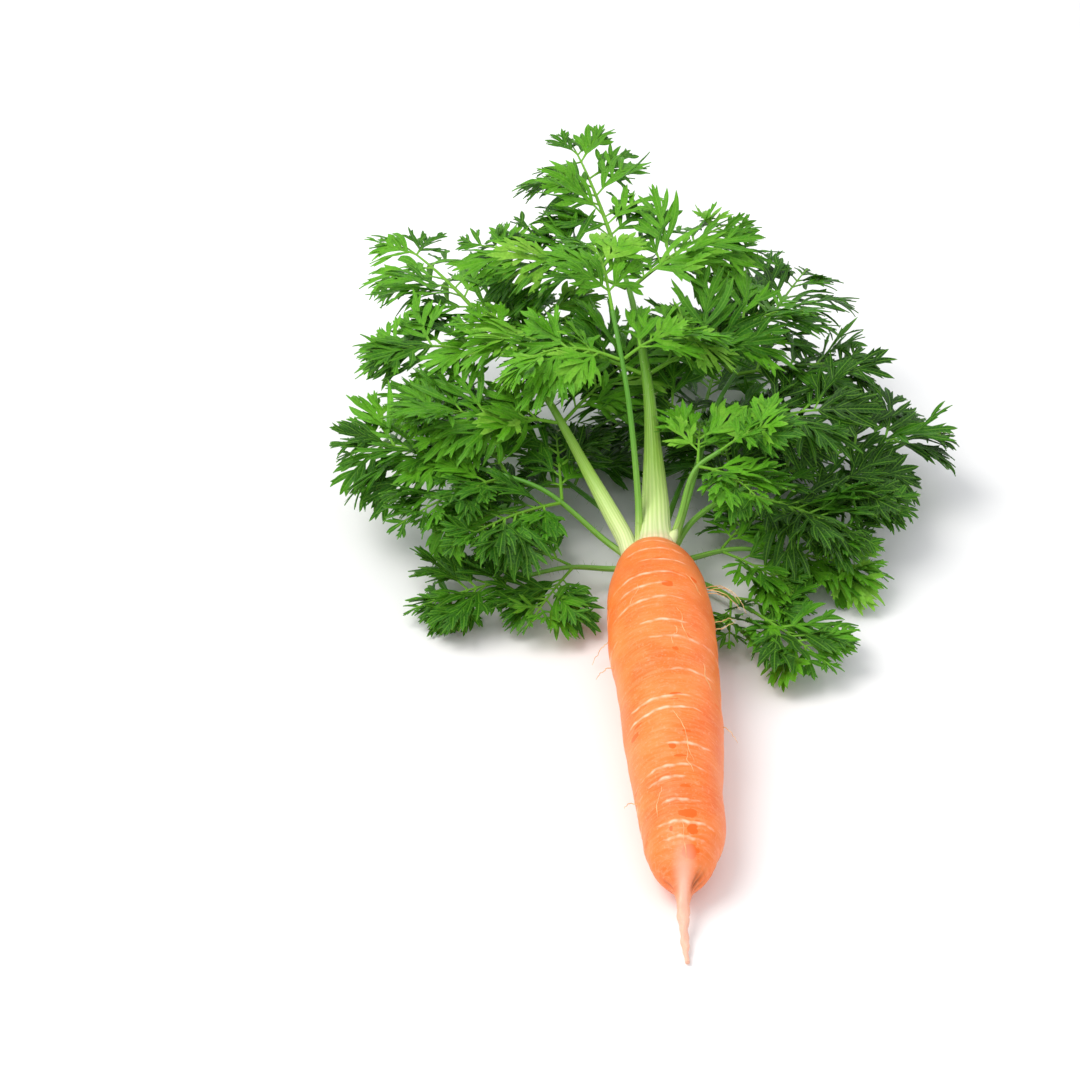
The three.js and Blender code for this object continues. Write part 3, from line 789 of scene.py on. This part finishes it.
def pinnule(luck, foot, forward, up, length, tone_and_painted_light):
    """One lobed blade from a point in a direction: a list of strips, each with its marks."""
    width = 0.3 + 0.05 * min(length, 23)
    roll = luck.normal(0, 0.35)
    side = np.cross(up, forward)
    side /= np.linalg.norm(side)
    up = np.cross(forward, side) * math.cos(roll) - side * math.sin(roll)
    bend = (-luck.uniform(0.004, 0.03), luck.normal(0, 0.008), luck.normal(0, 0.012))
    axis = strip(luck, foot, forward, up, (length, width), AXIS_OUTLINE, bend)
    strips = [axis]
    pairs = int(np.clip(round(length / 7.5), 1, 3))  # of lobes, on the lower two thirds
    for k in range(pairs):
        for way in (-1, 1):
            place = 0.13 + 0.52 * (k + luck.uniform(-0.2, 0.2) + 0.3) / pairs
            start, ahead, beside = seat(axis[3], length, place, way)
            above = np.cross(ahead, beside) * way
            angle = math.radians(luck.normal(41 - 14 * k / pairs, 5))
            lift = luck.normal(0.12, 0.13)
            towards = math.cos(angle) * ahead + math.sin(angle) * beside + lift * above
            towards /= np.linalg.norm(towards)
            reach = length * (0.63 - 0.26 * k / pairs) * luck.uniform(0.85, 1.15)
            wide = width * luck.uniform(0.82, 1.1) * (1 - 0.2 * k / pairs)
            bend = (-luck.uniform(0, 0.06), -way * luck.uniform(0.01, 0.04), luck.normal(0, 0.035))
            lobe = strip(luck, start - 0.1 * above, towards, above, (reach, wide), LOBE_OUTLINE, bend)
            strips.append(lobe)
            for outer, chance in ((way, 0.6), (-way, 0.25)):  # a lobe of the lobe, on one side or both
                if reach < 6.5 or luck.random() > chance:
                    continue
                place = luck.uniform(0.28, 0.42) + 0.12 * (outer != way)
                start, ahead, beside = seat(lobe[3], reach, place, outer)
                angle = math.radians(luck.normal(34, 5))
                onward = math.cos(angle) * ahead + math.sin(angle) * beside + luck.normal(0.05, 0.1) * above
                onward /= np.linalg.norm(onward)
                bend = (-luck.uniform(0, 0.05), -outer * luck.uniform(0.02, 0.06), luck.normal(0, 0.03))
                shorter = (reach * luck.uniform(0.44, 0.6), 0.85 * wide)
                strips.append(strip(luck, start, onward, above, shorter, LOBE_OUTLINE, bend))
    for _, _, marks, _ in strips:
        marks["tone_and_painted_light"] = np.full(len(marks["midrib"]), tone_and_painted_light)
        marks["stem"] = np.zeros(len(marks["midrib"]))
    rows = AXIS_OUTLINE[0].repeat(6).reshape(-1, 6)
    axis[2]["stem"] = with_ends(np.clip(1 - (rows - 0.07) / 0.2, 0, 1))
    return strips


# A living leaf: thin, soft and matt with a faint wax gloss, deep green with a lighter, sunken rib, and
# paler underneath. Light comes through it, so the blades glow yellow-green against the light.
blade, tree, output = new_finish("leaf_blade")
place = put(tree, "ShaderNodeTexCoord").outputs["Object"]
midrib, slant, edge, under, tone_and_painted_light, stem = [
    put(tree, "ShaderNodeAttribute", attribute_name=mark).outputs["Fac"]
    for mark in ("midrib", "vein", "edge", "under", "tone_and_painted_light", "stem")]
clouds = put(tree, "ShaderNodeTexNoise", {"Vector": place, "Scale": 1 / (9 * MM), "Detail": 3.0})
cells = put(tree, "ShaderNodeTexVoronoi", {"Vector": place, "Scale": 1 / (0.55 * MM)})
fine = put(tree, "ShaderNodeTexNoise", {"Vector": place, "Scale": 1 / (0.9 * MM), "Detail": 4.0})
# The tone mark holds each leaf's painted light and shade, with some random spread; the clouds shift it, and
# together they pick the green.
shift = put(tree, "ShaderNodeMath", {0: clouds.outputs[0], 1: 0.6, 2: -0.3}, operation="MULTIPLY_ADD")
green = put(tree, "ShaderNodeMath", {0: tone_and_painted_light, 1: shift.outputs[0]}, operation="ADD")
base = put(tree, "ShaderNodeValToRGB", {"Fac": green.outputs[0]}, stops=[
    (0.0, "#143a01"), (0.35, "#2c6802"), (0.7, "#5ca414"), (1.0, "#9ad048")])
freckle = put(tree, "ShaderNodeMapRange", {
    "Value": fine.outputs[0], "From Min": 0.35, "From Max": 0.7, "To Max": 0.3})
paler = put(tree, "ShaderNodeMath", {0: under, 1: 0.4}, operation="MULTIPLY")
along_rib = put(tree, "ShaderNodeMapRange", {
    "Value": midrib, "From Min": 0.26, "From Max": 0.06, "To Max": 0.5})
each_vein = put(tree, "ShaderNodeMath", {0: slant, 1: 1 / 1.5}, operation="MULTIPLY")
each_vein = put(tree, "ShaderNodeMath", {0: each_vein.outputs[0]}, operation="FRACT")
each_vein = put(tree, "ShaderNodeMath", {0: each_vein.outputs[0], 1: 0.5}, operation="SUBTRACT")
each_vein = put(tree, "ShaderNodeMath", {0: each_vein.outputs[0]}, operation="ABSOLUTE")
along_vein = put(tree, "ShaderNodeMapRange", {
    "Value": each_vein.outputs[0], "From Min": 0.1, "From Max": 0.02, "To Max": 0.28})
inside = put(tree, "ShaderNodeMapRange", {
    "Value": edge, "From Min": 1.0, "From Max": 0.6, "To Max": 1.0})
along_vein = put(tree, "ShaderNodeMath", {0: along_vein.outputs[0], 1: inside.outputs[0]},
                 operation="MULTIPLY")
veins = put(tree, "ShaderNodeMath", {0: along_rib.outputs[0], 1: along_vein.outputs[0]},
            operation="MAXIMUM")
veins = put(tree, "ShaderNodeMath", {0: veins.outputs[0], 1: stem}, operation="MAXIMUM")
colour = base.outputs[0]
for share, shade in ((freckle, "#1f4a08"), (paler, "#6c9c48"), (veins, "#74ac34")):
    over = put(tree, "ShaderNodeMix", {0: share.outputs[0], 6: colour, 7: linear(shade)}, data_type="RGBA")
    colour = over.outputs[2]
relief = put(tree, "ShaderNodeMath", {0: fine.outputs[0], 1: 0.6, 2: cells.outputs[0]},
             operation="MULTIPLY_ADD")
relief = put(tree, "ShaderNodeMath", {0: relief.outputs[0], 1: veins.outputs[0]}, operation="SUBTRACT")
bump = put(tree, "ShaderNodeBump", {"Height": relief.outputs[0], "Strength": 0.4, "Distance": 0.12 * MM})
dull = put(tree, "ShaderNodeMapRange", {
    "Value": fine.outputs[0], "From Min": 0.3, "From Max": 0.7, "To Min": 0.44, "To Max": 0.6})
surface = put(tree, "ShaderNodeBsdfPrincipled", {
    "Base Color": colour, "Roughness": dull.outputs[0], "Normal": bump.outputs[0], "IOR": 1.4,
    "Specular IOR Level": 0.24, "Subsurface Weight": 0.15, "Subsurface Radius": (0.5, 1.0, 0.2),
    "Subsurface Scale": 1.0 * MM})
tree.links.new(surface.outputs[0], output.inputs[0])

# Painted light and shade on each leaf: its green is lighter where the leaf stands in the lamp's light and
# darker where it lies in shade.
painted_light_by_leaf = {"main": 0.5, "tall": 0.68, "second": 0.52, "left": 0.34, "left_low": 0.32, "right_near": 0.62,
              "right_low": 0.5, "right_front": 0.45, "right_high": 0.12, "right_far": 0.15, "back": 0.2,
              "back_left": 0.25}

leaflets = sorted(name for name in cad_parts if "_leaflet_" in name)
for number, name in enumerate(leaflets):
    luck = np.random.default_rng([33, number])
    leaf = name[: name.index("_leaflet_")]
    own_stalk = stalk_lines[leaf]
    low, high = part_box(name)
    box_middle = np.array((low + high) / (2 * MM))
    joint = own_stalk[np.linalg.norm(own_stalk - box_middle, axis=1).argmin()]
    if not name.endswith("_end"):
        ends = [ring.mean(0) for ring in rings(name, BLADE_CORNERS, joint)]
        gaps = [np.linalg.norm(own_stalk - ends[k], axis=1).min() for k in (0, -1)]
        joint = ends[0] if gaps[0] < gaps[1] else ends[-1]
    packed = rings(name, BLADE_CORNERS, joint)

    # Of the four corners of a ring, two lie on the rib and two are the tips of a pair of lobes.
    first_guess = np.array([ring.mean(0) for ring in packed])
    _, across, _ = frames_along(first_guess)
    sorted_rings = [ring[np.argsort((ring - c) @ a)] for ring, c, a in zip(packed, first_guess, across)]
    ribs = np.array([ring[1:3].mean(0) for ring in sorted_rings])
    stations = np.concatenate([[0], np.cumsum(np.linalg.norm(np.diff(ribs, axis=0), axis=1))])
    length = stations[-1]
    at = np.linspace(0, length * 0.97, int(length / 1.5))
    line = through(stations, ribs, at)
    line = np.concatenate([line[:1] - (line[1] - line[0]) / np.linalg.norm(line[1] - line[0]) * 1.1, line])
    forward, across, up = frames_along(line)
    line = line + clear_of_neighbours(line) * np.clip(np.arange(len(line)) / 6, 0, 1)[:, None]
    thickest = 0.34 + 0.0065 * length
    radii = np.linspace(thickest, 0.22, len(line))
    stem_tube = thread(line, radii, 8)
    ones = np.ones(len(stem_tube[0]))
    # A leaflet's green: its leaf's painted light and shade, with a little random spread.
    tone_and_painted_light = painted_light_by_leaf[leaf] + luck.normal(0, 0.06)
    sleeves = [stem_tube]
    marked = [{"midrib": 0 * ones, "vein": 0 * ones, "edge": ones, "under": 0 * ones, "tone_and_painted_light": tone_and_painted_light * ones,
               "stem": 0.9 * ones}]

    strips = []
    lobe_count = (len(packed) - 3) // 2
    for k in range(lobe_count):
        notch, wing = 1 + 2 * k, 2 + 2 * k
        gap = stations[wing + 1] - stations[notch]
        for corner in (0, -1):
            for later, size in SEATS:
                if later > 0.5 and luck.random() < 0.3:
                    continue
                start = stations[notch] + (later + 0.06 * luck.uniform(-1, 1)) * gap
                i = np.abs(at - start).argmin() + 1
                tip = sorted_rings[wing][corner] + (later > 0.5) * 0.5 * gap * forward[i]
                towards = tip - line[i]
                reach = np.linalg.norm(towards)
                towards = towards / reach + luck.normal(0, 0.1, 3) + up[i] * luck.normal(0.12, 0.25)
                towards /= np.linalg.norm(towards)
                # Each pinnule spreads at random around its leaflet's painted light and shade.
                own_tone_and_painted_light = min(tone_and_painted_light + luck.normal(0, 0.14), 0.85)
                own_size = min(size * reach * luck.uniform(0.9, 1.12), LONGEST)
                strips += pinnule(luck, line[i], towards, up[i], own_size, own_tone_and_painted_light)
    start = np.abs(at - stations[2 * lobe_count + 1]).argmin() + 1
    end_size = 1.3 * (length - at[start - 1])
    strips += pinnule(luck, line[start], forward[start], up[start], end_size, tone_and_painted_light)

    middles = np.concatenate([middle.reshape(-1, 3) for middle, _, _, _ in strips])
    pushes = clear_of_neighbours(middles)
    used = 0
    for middle, thickness, marks, _ in strips:
        corners = middle.shape[0] * middle.shape[1]
        push = pushes[used : used + corners].reshape(middle.shape)
        used += corners
        sleeves.append(sleeve(middle + thickness + push))
        marked.append(marks)

    fuzz = hairs(luck, line + up * radii[:, None], up + 0.6 * across * luck.choice([-1, 1], (len(line), 1)),
                 int(0.35 * length), 1.0)
    sleeves += fuzz
    for points, _, _ in fuzz:
        some = np.ones(len(points))
        marked.append({"midrib": 0 * some, "vein": some, "edge": some, "under": some, "tone_and_painted_light": some,
                       "stem": some})
    marks = {mark: np.concatenate([m[mark] for m in marked]) for mark in marked[0]}
    grown(f"{name}_blade", sleeves, blade, marks, name, crease=70)
